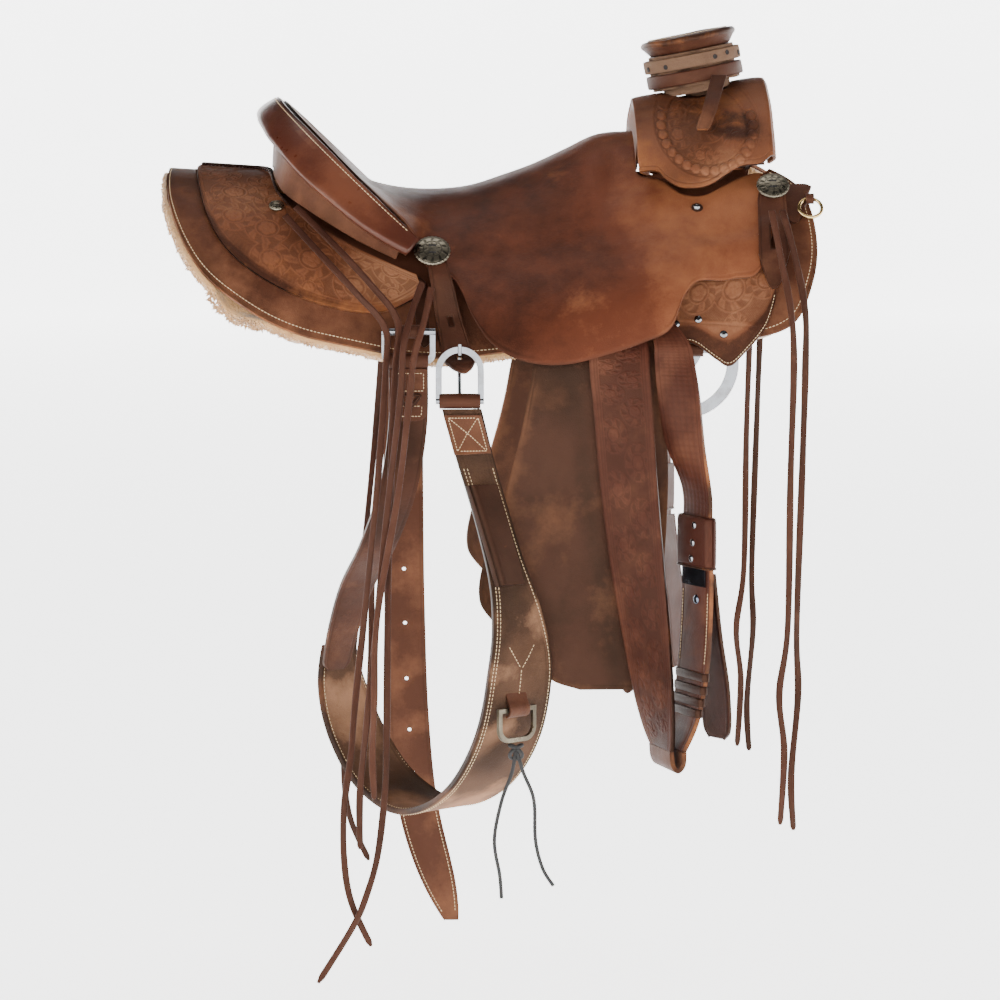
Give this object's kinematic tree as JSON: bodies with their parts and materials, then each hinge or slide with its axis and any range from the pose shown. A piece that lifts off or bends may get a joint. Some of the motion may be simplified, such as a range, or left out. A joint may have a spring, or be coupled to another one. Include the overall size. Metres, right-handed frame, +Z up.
{
  "type": "western saddle",
  "caption": "Ranch saddle with a post horn, rolled cantle, tooled jockeys, ring rigging, fenders with buckled stirrup leathers and a stored flank cinch.",
  "frame": {"origin": "on the saddle's centre line at the crown of the back or rack that carries it, midway along the tree bars", "axes": "+X forward to the horn, +Y to the horse's left, +Z up"},
  "size_m": [0.7494, 0.6498, 1.1046],
  "materials": {
    "rawhide": "semi-gloss rawhide over wood",
    "ground_leather": "plain",
    "fleece": "woolly",
    "skirt_leather": "worn, waxed",
    "seat_leather": "worn, burnished",
    "tooled_leather": "floral tooled, worn",
    "fender_leather": "worn, scuffed",
    "strap_leather": "oiled",
    "rough_leather": "rough-out, dusty",
    "string_leather": "latigo",
    "black_cord": "braided",
    "bright_steel": "polished",
    "old_silver": "engraved, antiqued",
    "dull_brass": "polished"
  },
  "bodies": {
    "saddle": {"tree_bar_left": "rawhide", "tree_bar_right": "rawhide", "tree_fork": "rawhide", "horn_post": "rawhide", "tree_cantle": "rawhide", "ground_seat": "ground_leather", "skirt_left": "skirt_leather", "skirt_right": "skirt_leather", "fleece_left": "fleece", "fleece_right": "fleece", "seat_leather": "seat_leather", "fork_cover": "seat_leather", "horn_wrap": "rough_leather", "horn_cap": "strap_leather", "horn_strap": "strap_leather", "cantle_back": "seat_leather", "cantle_roll": "seat_leather", "rear_jockey_left": "tooled_leather", "rear_jockey_right": "tooled_leather", "rigging_plate_left": "tooled_leather", "rigging_plate_right": "tooled_leather", "rigging_rivets": "bright_steel", "rigging_loops": "strap_leather", "rear_ring_right": "bright_steel", "conchos": "old_silver", "latigo_keepers": "strap_leather", "flank_keepers": "strap_leather", "breast_tabs": "skirt_leather", "rear_billet_right": "strap_leather", "flank_cinch": "rough_leather", "cinch_pocket": "strap_leather", "flank_buckle": "bright_steel", "buckle_tongue": "bright_steel", "front_string_right_a": "string_leather", "front_string_right_b": "string_leather", "front_string_left_a": "string_leather", "front_string_left_b": "string_leather", "jockey_string_right_a": "string_leather", "jockey_string_right_b": "string_leather", "concho_string_right_a": "string_leather", "concho_string_right_b": "string_leather", "jockey_string_left_a": "string_leather", "concho_string_left_a": "string_leather"},
    "stirrup_right": {"fender_right": "fender_leather", "stirrup_leather_right": "tooled_leather", "stirrup_buckle_right": "bright_steel"},
    "stirrup_left": {"fender_left": "fender_leather", "stirrup_leather_left": "tooled_leather", "stirrup_buckle_left": "bright_steel"},
    "sleeve_right": {"buckle_sleeve_right": "strap_leather"},
    "sleeve_left": {"buckle_sleeve_left": "strap_leather"},
    "front_ring_right": {"front_ring_right": "bright_steel"},
    "front_ring_left": {"front_ring_left": "bright_steel"},
    "breast_dee_right": {"breast_dee_right": "dull_brass"},
    "breast_dee_left": {"breast_dee_left": "dull_brass"},
    "rear_ring_left": {"rear_ring_left": "bright_steel"},
    "rear_billet_left": {"rear_billet_left": "strap_leather"},
    "cinch_dee": {"cinch_dee": "old_silver", "cinch_cord": "black_cord"}
  },
  "joints": [
    {"name": "stirrup_swing_right", "type": "hinge", "parent": "saddle", "child": "stirrup_right", "pos_m": [0.143, -0.216, -0.066], "axis": [0, 1, 0], "range_deg": [-8, 3]},
    {"name": "stirrup_swing_left", "type": "hinge", "parent": "saddle", "child": "stirrup_left", "pos_m": [0.143, 0.216, -0.066], "axis": [0, 1, 0], "range_deg": [-8, 3]},
    {"name": "sleeve_slide_right", "type": "slide", "parent": "stirrup_right", "child": "sleeve_right", "axis": [0, 0, 1], "range_m": [0, 0.015]},
    {"name": "sleeve_slide_left", "type": "slide", "parent": "stirrup_left", "child": "sleeve_left", "axis": [0, 0, 1], "range_m": [0, 0.015]},
    {"name": "front_ring_hinge_right", "type": "hinge", "parent": "saddle", "child": "front_ring_right", "pos_m": [0.205, -0.222, -0.106], "axis": [1, 0, 0], "range_deg": [0, 25]},
    {"name": "front_ring_hinge_left", "type": "hinge", "parent": "saddle", "child": "front_ring_left", "pos_m": [0.205, 0.222, -0.106], "axis": [1, 0, 0], "range_deg": [-25, 0]},
    {"name": "breast_dee_hinge_right", "type": "hinge", "parent": "saddle", "child": "breast_dee_right", "pos_m": [0.352, -0.16438, 0.06102], "axis": [1, 0, 0], "range_deg": [-60, 0]},
    {"name": "breast_dee_hinge_left", "type": "hinge", "parent": "saddle", "child": "breast_dee_left", "pos_m": [0.352, 0.16438, 0.06102], "axis": [1, 0, 0], "range_deg": [0, 60]},
    {"name": "rear_ring_hinge_left", "type": "hinge", "parent": "saddle", "child": "rear_ring_left", "pos_m": [-0.104, 0.232, -0.084], "axis": [1, 0, 0], "range_deg": [0, 3]},
    {"name": "rear_billet_swing_left", "type": "hinge", "parent": "rear_ring_left", "child": "rear_billet_left", "pos_m": [-0.104, 0.232, -0.117], "axis": [1, 0, 0], "range_deg": [-25, 1]},
    {"name": "cinch_dee_hinge", "type": "hinge", "parent": "saddle", "child": "cinch_dee", "pos_m": [0.015, -0.2886, -0.5025], "axis": [0.7659, 0.6429, 0], "range_deg": [-6, 6]}
  ]
}
